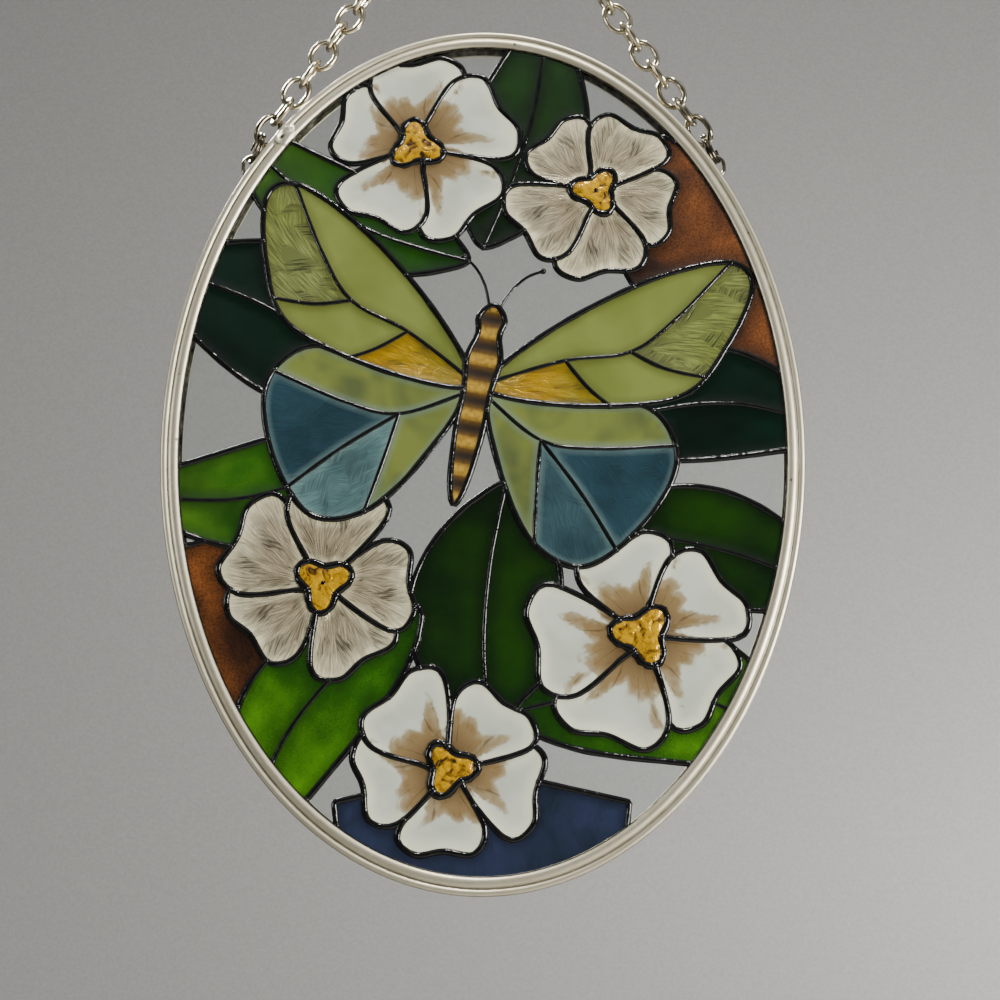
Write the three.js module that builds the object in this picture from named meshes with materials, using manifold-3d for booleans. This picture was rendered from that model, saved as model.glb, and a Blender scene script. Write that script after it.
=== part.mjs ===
// Oval painted-glass suncatcher in a metal rim, hung by a fine cable chain.
// Millimetres, +Z up. The painted front faces -Y, and the origin is where a hook
// carries the top link of the chain.
import * as THREE from 'three';
import { mergeVertices } from 'three/addons/utils/BufferGeometryUtils.js';
import Module from 'manifold-3d';

const wasm = await Module();
wasm.setup();

// ---------- driving sizes ----------

const oval = { width: 82.5, height: 114.3, steps: 44 };
const channel = { face: 2.35, depth: 3.7, wall: 0.7, slot: 2.4 };
const pane = { thickness: 2.1, clearance: 0.25 };
const paint = { film: 0.12, parting: 0.15, edge: 0.1 };
const line = { width: 0.8, veinWidth: 0.65, height: 0.38, lift: 0.02 };
const solder = { turn: 132, along: 1.7, across: 1.55, depth: 2.08, sides: 8, rings: 6 };
const eyelet = { turn: 41.7, foot: 0.25, reach: 1.65, halfLength: 1.65, shoulder: [0.98, 1.3] };
const eyeletWire = { diameter: 0.5, steps: 8, sides: 5 };
const link = { length: 5, width: 3.75, wire: 0.75, pitch: 3.32, perSide: 17, steps: 8, sides: 5 };
const twist = { steepest: 46, fade: 0.65, firstRoll: 24, lean: 13 };

const finish = {
  pewter: { color: 0xb4ae9c, roughness: 0.32, metalness: 1 },
  steel: { color: 0xa8a392, roughness: 0.35, metalness: 1 },
  glass: { color: 0xcfd6d2, roughness: 0.05, metalness: 0, transparent: true, opacity: 0.35 },
  blackLine: { color: 0x060807, roughness: 0.15, metalness: 0 },
  olive: { color: 0x98a05f, roughness: 0.25, metalness: 0 },
  steelBlue: { color: 0x3f6480, roughness: 0.25, metalness: 0.2 },
  deepBlue: { color: 0x2d3f69, roughness: 0.2, metalness: 0 },
  white: { color: 0xcdd2c8, roughness: 0.25, metalness: 0 },
  pearl: { color: 0xcdc6b4, roughness: 0.3, metalness: 0.4 },
  terracotta: { color: 0xa25f30, roughness: 0.3, metalness: 0.1 },
  bottle: { color: 0x08221a, roughness: 0.15, metalness: 0 },
  darkLeaf: { color: 0x193c08, roughness: 0.15, metalness: 0 },
  midLeaf: { color: 0x3c731e, roughness: 0.2, metalness: 0 },
  brightLeaf: { color: 0x41910a, roughness: 0.25, metalness: 0 },
};

// Everything is modelled about the oval's centre, and hangs below the hook in this group.
const hanging = new THREE.Group();

// ---------- helpers ----------

const radians = THREE.MathUtils.degToRad;

function solidOf(geometry) {
  const bare = geometry.index ? geometry.clone() : geometry;
  for (const name of ['normal', 'uv']) bare.deleteAttribute(name);
  const merged = mergeVertices(bare, 1e-4);
  const vertProperties = new Float32Array(merged.attributes.position.array);
  const triVerts = new Uint32Array(merged.index.array);
  return new wasm.Manifold(new wasm.Mesh({ numProp: 3, vertProperties, triVerts }));
}

function geometryOf(solid) {
  const mesh = solid.getMesh();
  const geometry = new THREE.BufferGeometry();
  geometry.setAttribute('position', new THREE.BufferAttribute(mesh.vertProperties, 3));
  geometry.setIndex(new THREE.BufferAttribute(mesh.triVerts, 1));
  geometry.computeVertexNormals();
  return geometry;
}

function add(name, geometry, look) {
  const mesh = new THREE.Mesh(geometry, new THREE.MeshStandardMaterial(finish[look]));
  mesh.name = name;
  hanging.add(mesh);
  return mesh;
}

const flat = (points) => points.map(([x, z]) => new THREE.Vector2(x, z));

// A flat outline in the picture's plane, given as [x, z] points, made a slab whose back lies at y.
function slab(outline, thickness, y, holes = []) {
  const shape = new THREE.Shape(flat(outline));
  shape.holes = holes.map((hole) => new THREE.Path(flat(hole)));
  const geometry = new THREE.ExtrudeGeometry(shape, { depth: thickness, bevelEnabled: false });
  return geometry.rotateX(Math.PI / 2).translate(0, y, 0);
}

const union = (solids) => wasm.Manifold.union(solids);

// ---------- the oval ----------

// The point of an oval's edge at an angle, moved outwards by offset along the normal there.
function onOval(halfX, halfZ, angle, offset = 0) {
  const point = new THREE.Vector2(halfX * Math.cos(angle), halfZ * Math.sin(angle));
  const normal = new THREE.Vector2(Math.cos(angle) / halfX, Math.sin(angle) / halfZ).normalize();
  return point.addScaledVector(normal, offset);
}

const onRim = (angle, offset) => onOval(oval.width / 2, oval.height / 2, angle, offset);

function ovalOutline(offset) {
  const step = (2 * Math.PI) / oval.steps;
  return Array.from({ length: oval.steps }, (_, i) => onRim(i * step, offset).toArray());
}

// A closed section swept round an oval: a lathe ring whose circle is then laid along the oval.
// The section is [out, y] points, anticlockwise, with out measured from the oval's line.
function ovalRing(section, halfX, halfZ, steps) {
  const axisOffset = 10;
  const profile = [...section, section[0]].map(([out, y]) => new THREE.Vector2(axisOffset + out, y));
  const geometry = new THREE.LatheGeometry(profile, steps);
  const position = geometry.attributes.position;
  for (let i = 0; i < position.count; i++) {
    const x = position.getX(i);
    const z = position.getZ(i);
    const point = onOval(halfX, halfZ, Math.atan2(z, x), Math.hypot(x, z) - axisOffset);
    position.setXYZ(i, point.x, position.getY(i), point.y);
  }
  return geometry;
}

function wireSection(diameter, sides) {
  return Array.from({ length: sides }, (_, i) => {
    const angle = (2 * Math.PI * (i + 0.5)) / sides;
    return [(diameter / 2) * Math.cos(angle), (diameter / 2) * Math.sin(angle)];
  });
}

function wireAlong(path, { diameter, sides, steps }) {
  const section = new THREE.Shape(flat(wireSection(diameter, sides)));
  return new THREE.ExtrudeGeometry(section, { steps, bevelEnabled: false, extrudePath: path });
}

// ---------- rim, solder joint and glass ----------

// The channel: two rolled beads with a groove between them in front, a flat back, a slot inside.
function rimSection() {
  const front = -channel.depth / 2;
  const back = channel.depth / 2;
  const slot = channel.slot / 2;
  return [
    [0, front + 0.45],
    [0, back],
    [-channel.face, back],
    [-channel.face, slot],
    [-channel.wall, slot],
    [-channel.wall, -slot],
    [-channel.face, -slot],
    [-channel.face + 0.12, front + 0.25],
    [-1.75, front],
    [-1.25, front + 0.06],
    [-0.9, front + 0.34],
    [-0.66, front + 0.14],
    [-0.28, front + 0.16],
  ];
}

function solderLump() {
  const lump = new THREE.SphereGeometry(1, solder.sides, solder.rings);
  const at = onRim(radians(solder.turn), -channel.face / 2);
  const outward = onRim(radians(solder.turn), 1).sub(onRim(radians(solder.turn), 0));
  lump.scale(solder.across, solder.depth, solder.along);
  return lump.rotateY(-outward.angle()).translate(at.x, 0, at.y);
}

// The lump of solder keeps out of the glass's slot and out of the window.
function rim() {
  const ring = solidOf(ovalRing(rimSection(), oval.width / 2, oval.height / 2, oval.steps));
  const slotSpace = solidOf(slab(ovalOutline(-channel.wall), channel.slot, channel.slot / 2));
  const window = solidOf(slab(ovalOutline(-channel.face), 2 * channel.depth, channel.depth));
  return ring.add(solidOf(solderLump()).subtract(slotSpace).subtract(window));
}

function glassPane() {
  return slab(ovalOutline(-channel.wall - pane.clearance), pane.thickness, pane.thickness / 2);
}

// ---------- the picture: outlines ----------

// Points moved, turned and sized into the picture, and mirrored left to right when asked.
function place(points, at, turn = 0, size = 1, mirrored = false) {
  const cos = Math.cos(radians(turn)) * size;
  const sin = Math.sin(radians(turn)) * size;
  const side = mirrored ? -1 : 1;
  return points.map(([x, z]) => [at[0] + side * x * cos - z * sin, at[1] + side * x * sin + z * cos]);
}

// A pointed leaf from base to tip, bowed sideways by bend, with a midrib that stops short of the tip.
function leaf(base, tip, width, bend, steps = 5) {
  const length = Math.hypot(tip[0] - base[0], tip[1] - base[1]);
  const along = [(tip[0] - base[0]) / length, (tip[1] - base[1]) / length];
  const spot = (s, side) => {
    const sideways = bend * length * Math.sin(Math.PI * s) + side;
    return [0, 1].map((j) => base[j] + along[j] * length * s + [-along[1], along[0]][j] * sideways);
  };
  const half = (s) => (width / 2) * Math.sin(Math.PI * s ** 0.8) ** 0.9;
  const outline = [spot(0, 0)];
  for (let i = 1; i < steps; i++) outline.push(spot(i / steps, -half(i / steps)));
  outline.push(spot(1, 0));
  for (let i = steps - 1; i > 0; i--) outline.push(spot(i / steps, half(i / steps)));
  const midrib = [0, 0.28, 0.56, 0.84].map((s) => spot(s, 0));
  return { outlines: [outline], lines: [midrib] };
}

const petalShape = [
  [0.02, 0], [0.22, 0.2], [0.64, 0.47], [0.93, 0.37], [0.93, 0.02], [1, -0.3], [0.74, -0.5],
];

// Outlines are listed front one first: a small three-lobed heart over five broad petals with a
// notched, wavy edge, each over the next.
function blossom(at, radius, turn) {
  const outlines = Array.from({ length: 5 }, (_, k) => {
    const reach = radius * (1 + 0.08 * Math.sin(1.7 * k + turn));
    const angle = turn + 72 * k + 6 * Math.sin(2.1 * k + turn);
    return place(petalShape.map(([x, y]) => [x * reach, y * reach * 1.02]), at, angle);
  });
  const heart = Array.from({ length: 6 }, (_, i) => {
    const angle = (2 * Math.PI * i) / 6;
    const r = radius * 0.2 * (1 + 0.22 * Math.cos(3 * angle + turn));
    return [at[0] + r * Math.cos(angle), at[1] + r * Math.sin(angle)];
  });
  return { outlines: [heart, ...outlines] };
}

const butterfly = { at: [-0.5, 7.5], tilt: -11, size: 1.16 };

const wings = {
  fore: {
    shape: [
      [1.2, 1], [8, 8.6], [17, 15.6], [25, 19.2], [28.2, 17],
      [26.6, 9.5], [22.5, 2.6], [12, -0.6], [2.2, -1.2],
    ],
    veins: [
      [[1.5, 0.3], [9, 4.2], [16, 6.6], [20.5, 11.6], [25.2, 19]],
      [[16, 6.6], [20, 5.4], [24.5, 5.2]],
      [[9, 4.2], [12, 1.6], [15, -0.2]],
    ],
  },
  hind: {
    shape: [
      [1.6, -1.2], [10, -0.8], [19, 0.6], [23.2, -4.6],
      [21, -12.2], [15.4, -18.4], [9.2, -16.8], [4.2, -9.6],
    ],
    veins: [
      [[1.8, -2], [8, -5.4], [14, -5.2], [22.6, -3.2]],
      [[8, -5.4], [13.5, -10.5], [18.4, -16]],
      [[8, -5.4], [8.6, -11], [9.4, -16.6]],
    ],
  },
};

const bodyShape = [
  [0, 9.2], [1.5, 7.6], [1.2, 5.6], [1.9, 2.6], [1.5, -1.2], [1.5, -6], [0.9, -12],
  [0, -14.4], [-0.9, -12], [-1.5, -6], [-1.5, -1.2], [-1.9, 2.6], [-1.2, 5.6], [-1.5, 7.6],
];

function onButterfly(points, mirrored = false) {
  return place(points, butterfly.at, butterfly.tilt, butterfly.size, mirrored);
}

function wing(kind, mirrored) {
  const set = (points) => onButterfly(points, mirrored);
  return { outlines: [set(wings[kind].shape)], lines: wings[kind].veins.map(set) };
}

// The body lies over both forewings, and one film runs under all three.
function forewings() {
  const pair = [wing('fore', false), wing('fore', true)];
  return {
    outlines: [onButterfly(bodyShape), ...pair.flatMap(({ outlines }) => outlines)],
    lines: pair.flatMap(({ lines }) => lines),
    linesUnder: 1,
  };
}

// ---------- the picture: layout, front to back ----------

const flower = (name, look, at, radius, turn) => ({ name, look, ...blossom(at, radius, turn) });
const leafAt = (name, look, ...shape) => ({ name, look, ...leaf(...shape) });
const patch = (name, look, outline) => ({ name, look, outlines: [outline] });

const motifs = [
  { name: 'forewings', look: 'olive', ...forewings() },
  { name: 'hindwing_right', look: 'steelBlue', ...wing('hind', false) },
  { name: 'hindwing_left', look: 'steelBlue', ...wing('hind', true) },
  flower('blossom_foot', 'white', [-4, -42], 11.5, 50),
  flower('blossom_lower_left', 'pearl', [-20, -19], 12.5, 5),
  flower('blossom_lower_right', 'white', [20, -25.5], 13.5, 35),
  flower('blossom_upper_right', 'pearl', [15, 34], 11.5, 60),
  flower('blossom_upper_left', 'white', [-9, 40.5], 12.5, 20),
  leafAt('leaf_lower_right', 'darkLeaf', [12, -12], [48, -22], 15, 0.06),
  leafAt('leaf_foot_right', 'brightLeaf', [4, -35], [44, -44], 17, 0.16),
  leafAt('leaf_foot_left', 'brightLeaf', [-8, -22], [-30, -56], 15, -0.12),
  leafAt('leaf_middle', 'darkLeaf', [3, -6], [2, -44], 19, -0.06),
  leafAt('leaf_lower_left', 'midLeaf', [-12, 0], [-48, -7], 14, 0.12),
  leafAt('leaf_left', 'bottle', [-12, 5], [-46, 24], 20, -0.08),
  leafAt('leaf_right', 'bottle', [14, 1], [48, 0], 15, 0.12),
  leafAt('leaf_top', 'darkLeaf', [0, 26], [9, 62], 16, -0.05),
  leafAt('leaf_upper_left', 'midLeaf', [-2, 24], [-36, 46], 13, 0.1),
  patch('ground_foot', 'deepBlue', [[-18, -46], [0, -42], [18, -46], [16, -60], [-16, -60]]),
  patch('ground_lower_left', 'terracotta', [[-46, -16], [-32, -13], [-22, -26], [-24, -42], [-42, -34]]),
  patch('ground_upper_right', 'terracotta', [[24, 42], [46, 30], [46, 0], [28, 4], [18, 24]]),
];

// ---------- the picture: solids ----------

const sharpest = 0.4; // keeps the mitre of a sharp corner from running far out

// The points moved sideways by offset, to the right of their way, with mitred corners.
function offsetLine(points, offset, closed) {
  const last = points.length - 1;
  return points.map((point, i) => {
    const before = points[closed || i > 0 ? (i + last) % points.length : 0];
    const after = points[closed || i < last ? (i + 1) % points.length : last];
    const into = new THREE.Vector2(point[0] - before[0], point[1] - before[1]).normalize();
    const onward = new THREE.Vector2(after[0] - point[0], after[1] - point[1]).normalize();
    const along = into.clone().add(onward).normalize();
    const reach = offset / Math.max(sharpest, along.dot(into), along.dot(onward));
    return [point[0] + along.y * reach, point[1] - along.x * reach];
  });
}

// A loop made anticlockwise and moved outwards by offset.
function offsetLoop(points, offset) {
  const loop = THREE.ShapeUtils.area(flat(points)) > 0 ? points : [...points].reverse();
  return offsetLine(loop, offset, true);
}

const glassFront = -pane.thickness / 2;
const lineBack = glassFront - paint.film - line.lift;

function loopRibbon(points) {
  const half = line.width / 2;
  return solidOf(slab(offsetLoop(points, half), line.height, lineBack, [offsetLoop(points, -half)]));
}

function veinRibbon(points) {
  const half = line.veinWidth / 2;
  const strip = [...offsetLine(points, half, false), ...offsetLine(points, -half, false).reverse()];
  return solidOf(slab(strip, line.height, lineBack));
}

// A solid from the glass's middle to well in front of the lines, to clip or cut them with.
function cutter(outline) {
  const reach = 4;
  return solidOf(slab(outline, reach, 0));
}

// Each motif hides what lies behind it. Its veins lie behind its first linesUnder outlines.
function picture() {
  const window = cutter(ovalOutline(-channel.face - paint.edge));
  const films = [];
  const ribbons = [];
  let cover = union([]);
  let grownCover = union([]);
  for (const { name, look, outlines, lines = [], linesUnder = 0 } of motifs) {
    const film = union(outlines.map((outline) => solidOf(slab(outline, paint.film, glassFront))));
    films.push({ name: `paint_${name}`, look, solid: film.subtract(grownCover).intersect(window) });
    const grown = outlines.map((outline) => cutter(offsetLoop(outline, paint.parting)));
    grownCover = union([grownCover, ...grown]);
    outlines.forEach((outline, i) => {
      if (i === linesUnder) ribbons.push(...lines.map((points) => veinRibbon(points).subtract(cover)));
      ribbons.push(loopRibbon(outline).subtract(cover));
      cover = cover.add(cutter(outline));
    });
  }
  return { relief: union(ribbons).intersect(window), films };
}

// ---------- eyelets and chain ----------

// The loop stands out along +X from the rim's edge at the origin.
function eyeletLoop() {
  const { foot, reach, halfLength } = eyelet;
  const [out, up] = eyelet.shoulder;
  const path = new THREE.CatmullRomCurve3([
    new THREE.Vector3(foot, 0, -halfLength),
    new THREE.Vector3(out, 0, -up),
    new THREE.Vector3(reach, 0, 0),
    new THREE.Vector3(out, 0, up),
    new THREE.Vector3(foot, 0, halfLength),
  ]);
  return wireAlong(path, eyeletWire);
}

const linkHalf = { along: (link.length - link.wire) / 2, across: (link.width - link.wire) / 2 };
const hold = 2 * linkHalf.along - link.pitch; // from the bow of one link to the bow it hangs in

function linkLoop() {
  return ovalRing(wireSection(link.wire, link.sides), linkHalf.along, linkHalf.across, link.steps);
}

// The first link hangs in the upper shoulder of the eyelet and leans out from the rim's tangent.
// The chain then runs straight to the top link, so its slope follows from its length.
const eyeletHold = 1.1; // from the first link's bow up to the eyelet's wire
const kinkSlack = 0.25; // more room where the first two links meet at an angle
const root = onRim(radians(eyelet.turn), 0);
const outward = onRim(radians(eyelet.turn), 1).sub(root);
const upward = new THREE.Vector2(-outward.y, outward.x);
const [shoulderOut, shoulderUp] = eyelet.shoulder;
const shoulder = root.clone().addScaledVector(outward, shoulderOut).addScaledVector(upward, shoulderUp);
const firstAngle = upward.angle() - radians(twist.lean);
const firstLine = new THREE.Vector2(Math.cos(firstAngle), Math.sin(firstAngle));
const firstCentre = shoulder.clone().addScaledVector(firstLine, linkHalf.along - eyeletHold);
const chainEnd = firstCentre.clone().addScaledVector(firstLine, linkHalf.along - hold - kinkSlack);
const chainStart = linkHalf.along - hold;
const chainRun = 2 * linkHalf.along + (link.perSide - 2) * link.pitch;
const slope = Math.acos((chainEnd.x - chainStart) / chainRun);
const topLinkHeight = chainEnd.y + chainRun * Math.sin(slope);
const hookHeight = topLinkHeight + linkHalf.across - link.wire / 2;

// Flat-on pieces lie in the picture's plane, edge-on ones stand square to it, and roll turns
// either of them further round the line of the chain.
function setLink(mesh, side, [x, z], angle, edgeOn, roll) {
  mesh.position.set(side * x, 0, z);
  mesh.rotation.set(radians((edgeOn ? 90 : 0) + roll), side * angle, 0, 'YXZ');
}

// Links are counted up from the eyelet. The chain lies flat at the top and twists more and more
// towards the rim, which its first links would touch if they lay flat.
function chain() {
  const topLink = add('chain_top_link', linkLoop(), 'steel');
  topLink.position.z = topLinkHeight;
  for (const [sideName, side] of [['left', -1], ['right', 1]]) {
    for (let count = 1; count <= link.perSide; count++) {
      const mesh = add(`chain_${sideName}_${String(count).padStart(2, '0')}`, linkLoop(), 'steel');
      const edgeOn = count % 2 === 1;
      const run = linkHalf.along + (link.perSide - count) * link.pitch;
      const at = [chainStart + run * Math.cos(slope), topLinkHeight - run * Math.sin(slope)];
      const roll = twist.steepest * twist.fade ** (count - 2);
      if (count > 1) setLink(mesh, side, at, slope, edgeOn, roll);
      else setLink(mesh, side, firstCentre.toArray(), Math.PI - firstAngle, edgeOn, twist.firstRoll);
    }
  }
}

function eyelets() {
  for (const [sideName, side] of [['left', -1], ['right', 1]]) {
    const mesh = add(`eyelet_${sideName}`, eyeletLoop(), 'steel');
    mesh.position.set(side * root.x, 0, root.y);
    mesh.rotation.y = side > 0 ? -outward.angle() : outward.angle() - Math.PI;
  }
}

// ---------- assembly ----------

const { relief, films } = picture();
add('rim', geometryOf(rim()), 'pewter');
add('glass_pane', glassPane(), 'glass');
add('relief_outline', geometryOf(relief), 'blackLine');
for (const { name, look, solid } of films) add(name, geometryOf(solid), look);
eyelets();
chain();

hanging.position.z = -hookHeight;
const suncatcher = new THREE.Group();
suncatcher.add(hanging);
export default suncatcher;
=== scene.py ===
import math

import bmesh
import bpy
import numpy as np
from mathutils import Matrix, Vector, noise
from mathutils.geometry import delaunay_2d_cdt
from mathutils.kdtree import KDTree


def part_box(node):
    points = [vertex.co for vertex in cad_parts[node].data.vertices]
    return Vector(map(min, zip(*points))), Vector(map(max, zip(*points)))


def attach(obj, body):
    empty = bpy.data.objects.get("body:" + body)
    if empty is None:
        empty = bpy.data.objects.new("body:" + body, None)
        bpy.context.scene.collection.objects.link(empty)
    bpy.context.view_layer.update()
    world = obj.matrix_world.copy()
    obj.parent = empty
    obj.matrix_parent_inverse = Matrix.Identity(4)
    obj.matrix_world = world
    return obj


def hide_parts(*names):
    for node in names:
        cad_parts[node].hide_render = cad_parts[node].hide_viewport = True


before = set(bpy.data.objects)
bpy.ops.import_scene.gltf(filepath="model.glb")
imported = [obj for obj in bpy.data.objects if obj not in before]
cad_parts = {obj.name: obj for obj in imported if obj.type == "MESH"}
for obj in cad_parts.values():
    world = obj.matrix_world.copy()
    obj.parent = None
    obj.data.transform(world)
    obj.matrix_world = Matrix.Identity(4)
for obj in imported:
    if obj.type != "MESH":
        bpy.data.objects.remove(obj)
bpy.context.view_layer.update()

mm = 0.001
rimLow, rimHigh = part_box("rim")
ovalHalf = ((rimHigh[0] - rimLow[0]) / 2 / mm, (rimHigh[2] - rimLow[2]) / 2 / mm)
ovalHeight = (rimHigh[2] + rimLow[2]) / 2  # the oval's centre, below the hook
forwards = (0, -1, 0)


def place(x, y, z):  # millimetres about the oval's centre, to metres in the part's frame
    return (x * mm, y * mm, z * mm + ovalHeight)


def feed(tree, made, values):  # each value is set on its socket, or linked to it
    for key, value in values.items():
        if isinstance(value, bpy.types.NodeSocket):
            tree.links.new(value, made.inputs[key])
        else:
            made.inputs[key].default_value = value
    return made


def addNode(tree, kind, values=None, **settings):
    made = tree.nodes.new(kind)
    for key, value in settings.items():
        setattr(made, key, value)
    return feed(tree, made, values or {})


def rgb(red, green, blue):  # screen values from 0 to 255, as a linear colour
    linear = [((c / 255 + 0.055) / 1.055) ** 2.4 if c > 10 else c / 255 / 12.92 for c in (red, green, blue)]
    return (*linear, 1)


def newMaterial(name, **values):
    material = bpy.data.materials.new(name)
    material.use_nodes = True
    shader = material.node_tree.nodes["Principled BSDF"]
    for key, value in values.items():
        shader.inputs[key.replace("_", " ")].default_value = value
    return material, material.node_tree, shader


def ramp(tree, factor, stops):
    made = addNode(tree, "ShaderNodeValToRGB", {"Fac": factor})
    points = made.color_ramp.elements
    while len(points) < len(stops):
        points.new(0.5)
    while len(points) > len(stops):
        points.remove(points[-1])
    for point, (position, colour) in zip(points, stops):
        point.position = position
        point.color = colour
    return made.outputs["Color"]


def mixColour(tree, factor, first, second, blend="MIX"):
    values = {0: factor, 6: first, 7: second}
    return addNode(tree, "ShaderNodeMix", values, data_type="RGBA", blend_type=blend).outputs[2]


def mixValue(tree, factor, first, second):
    return addNode(tree, "ShaderNodeMix", {0: factor, 2: first, 3: second}, data_type="FLOAT").outputs[0]


def remap(tree, value, low, high, toLow=0.0, toHigh=1.0):
    values = {"Value": value, "From Min": low, "From Max": high, "To Min": toLow, "To Max": toHigh}
    return addNode(tree, "ShaderNodeMapRange", values).outputs["Result"]


def maths(tree, operation, first, second=0.0):
    return addNode(tree, "ShaderNodeMath", {0: first, 1: second}, operation=operation).outputs[0]


def attribute(tree, name):
    return addNode(tree, "ShaderNodeAttribute", attribute_name=name).outputs["Fac"]


def spaceNoise(tree, size, detail=2.0, roughness=0.5, distortion=0.0):  # size of its blotches in millimetres
    where = addNode(tree, "ShaderNodeTexCoord").outputs["Object"]
    values = {"Vector": where, "Scale": 1 / (size * mm), "Detail": detail,
              "Roughness": roughness, "Distortion": distortion}
    return addNode(tree, "ShaderNodeTexNoise", values).outputs["Fac"]


def strokeNoise(tree, across, along, detail=3.0, distortion=0.0):  # stretched along a piece's own strokes
    where = addNode(tree, "ShaderNodeUVMap", uv_map="strokes").outputs["UV"]
    scaled = addNode(tree, "ShaderNodeMapping", {"Vector": where, "Scale": (1 / across, 1 / along, 1)})
    values = {"Vector": scaled.outputs["Vector"], "Scale": 1.0, "Detail": detail, "Distortion": distortion}
    return addNode(tree, "ShaderNodeTexNoise", values).outputs["Fac"]


def bump(tree, height, distance, strength=1.0, under=None):
    values = {"Height": height, "Distance": distance * mm, "Strength": strength}
    if under:
        values["Normal"] = under
    return addNode(tree, "ShaderNodeBump", values).outputs["Normal"]


def newTree(name, inputs):  # a geometry tree with named inputs, and the sockets of its group input
    tree = bpy.data.node_groups.new(name, "GeometryNodeTree")
    tree.interface.new_socket("Geometry", in_out="INPUT", socket_type="NodeSocketGeometry")
    for label, kind in inputs.items():
        tree.interface.new_socket(label, in_out="INPUT", socket_type=f"NodeSocket{kind}")
    tree.interface.new_socket("Geometry", in_out="OUTPUT", socket_type="NodeSocketGeometry")
    return tree, tree.nodes.new("NodeGroupInput").outputs


def endTree(tree, geometry, material):
    realised = addNode(tree, "GeometryNodeRealizeInstances", {"Geometry": geometry})
    values = {"Geometry": realised.outputs[0], "Shade Smooth": True}
    smooth = addNode(tree, "GeometryNodeSetShadeSmooth", values)
    finished = addNode(tree, "GeometryNodeSetMaterial", {"Geometry": smooth.outputs[0], "Material": material})
    addNode(tree, "NodeGroupOutput", {"Geometry": finished.outputs[0]})


def named(tree, name, kind="FLOAT"):
    return addNode(tree, "GeometryNodeInputNamedAttribute", {"Name": name}, data_type=kind).outputs[0]


def curveOf(tree, piece):  # an object's edges, as a curve inside a geometry tree
    shape = addNode(tree, "GeometryNodeObjectInfo", {"Object": piece}).outputs["Geometry"]
    return addNode(tree, "GeometryNodeMeshToCurve", {"Mesh": shape}).outputs[0]


def grow(source, tree, values):  # runs a geometry tree on an object and keeps the result as its plain mesh
    modifier = source.modifiers.new("grow", "NODES")
    modifier.node_group = tree
    for item in tree.interface.items_tree:
        if item.in_out == "INPUT" and item.name in values:
            modifier[item.identifier] = values[item.name]
    evaluated = source.evaluated_get(bpy.context.evaluated_depsgraph_get())
    mesh = bpy.data.meshes.new_from_object(evaluated)
    source.modifiers.remove(modifier)
    source.data = mesh
    return source


def meshObject(name, mesh):
    made = bpy.data.objects.new(name, mesh)
    bpy.context.scene.collection.objects.link(made)
    return made


def setFloats(mesh, **floats):  # one value for each point
    for key, values in floats.items():
        mesh.attributes.new(key, "FLOAT", "POINT").data.foreach_set("value", list(values))


def setStrokes(mesh, places):  # a map in millimetres whose second way runs along the strokes
    corners = np.empty(len(mesh.loops), dtype=np.int32)
    mesh.loops.foreach_get("vertex_index", corners)
    layer = mesh.uv_layers.get("strokes") or mesh.uv_layers.new(name="strokes")
    layer.data.foreach_set("uv", np.array(places)[corners].ravel())


def pointsMesh(name, points, edges=(), **floats):
    mesh = bpy.data.meshes.new(name)
    mesh.from_pydata([tuple(p) for p in points], list(edges), [])
    setFloats(mesh, **floats)
    return mesh


def profileObject(name, points):  # a closed section for a sweep, in millimetres
    count = len(points)
    edges = [(i, (i + 1) % count) for i in range(count)]
    return meshObject(name, pointsMesh(name, [(x * mm, y * mm, 0) for x, y in points], edges))


def circleSection(name, sides):  # a round section a millimetre in radius
    turns = [2 * math.pi * k / sides for k in range(sides)]
    return profileObject(name, [(math.cos(a), math.sin(a)) for a in turns])


def pointTree(points):
    tree = KDTree(len(points))
    for i, p in enumerate(points):
        tree.insert((p[0], p[1], 0), i)
    tree.balance()
    return tree


def finishPiece(piece, slot, *nodes):
    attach(piece, "root")
    if nodes:
        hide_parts(*nodes)


print("helpers ready")


def onOval(angle, out=0.0):  # a point outwards from the rim's edge, and the normal there
    halfX, halfZ = ovalHalf
    normal = Vector((math.cos(angle) / halfX, math.sin(angle) / halfZ)).normalized()
    return Vector((halfX * math.cos(angle), halfZ * math.sin(angle))) + normal * out, normal


def smoothLine(points, spacing=0.8, closed=True):  # uniform Catmull-Rom through the points
    count = len(points)
    pick = (lambda i: points[i % count]) if closed else (lambda i: points[min(max(i, 0), count - 1)])
    out = []
    for i in range(count if closed else count - 1):
        a, b, c, d = (np.array(pick(i + k), float) for k in (-1, 0, 1, 2))
        steps = max(2, round(float(np.linalg.norm(c - b)) / spacing))
        for t in (k / steps for k in range(steps)):
            out.append(tuple(0.5 * (2 * b + (c - a) * t + (2 * a - 5 * b + 4 * c - d) * t * t
                                    + (3 * b - a - 3 * c + d) * t ** 3)))
    return out if closed else out + [tuple(points[-1])]


def divideLine(line, longest, closed):  # the same line with points no further apart than longest
    points = [np.array(p, dtype=float) for p in line]
    ends = points[1:] + points[:1] if closed else points[1:]
    divided = []
    for a, b in zip(points, ends):
        count = max(1, math.ceil(np.linalg.norm(b - a) / longest))
        divided += [a + (b - a) * k / count for k in range(count)]
    return divided if closed else divided + [points[-1]]


def setShape(points, at, turn=0.0, size=1.0, mirrored=False):
    cos, sin = math.cos(math.radians(turn)) * size, math.sin(math.radians(turn)) * size
    side = -1 if mirrored else 1
    return [(at[0] + side * x * cos - z * sin, at[1] + side * x * sin + z * cos) for x, z in points]


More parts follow.
